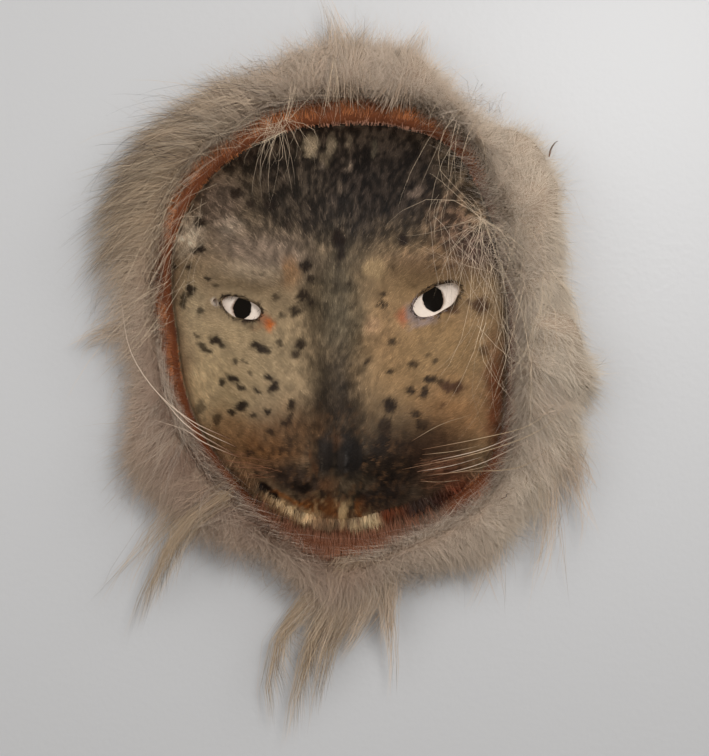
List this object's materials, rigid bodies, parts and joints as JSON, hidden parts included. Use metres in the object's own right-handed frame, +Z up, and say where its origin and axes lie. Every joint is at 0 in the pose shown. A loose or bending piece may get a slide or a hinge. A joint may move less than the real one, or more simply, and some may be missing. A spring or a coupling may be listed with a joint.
{
  "type": "spotted hide animal face mask with fur ruff",
  "caption": "Hollow animal face mask moulded from a spotted hide, with cut-out eyes over pale patches with pupil holes, a short fur trim and a wide long-haired ruff that hangs in tails below.",
  "frame": {"origin": "the point where the mask hangs: at the back plane, just inside the top of its open back", "axes": "+Z up as it hangs, the face looks along -Y, and +Y points into the wall or the wearer's face"},
  "size_m": [0.2898, 0.0624, 0.399],
  "materials": {
    "spotted_hide": "sleek short hair, satin, olive tan with near-black spots, darker on brow, nose and muzzle",
    "eye_leather": "matte off-white leather",
    "trim_fur": "short dense red-brown fur",
    "ruff_fur": "long soft grey-beige fur with paler and darker guard hairs"
  },
  "bodies": {
    "root": {"face_shell": "spotted_hide", "eye_patch_left": "eye_leather", "eye_patch_right": "eye_leather", "fur_trim": "trim_fur", "ruff": "ruff_fur"}
  },
  "joints": []
}
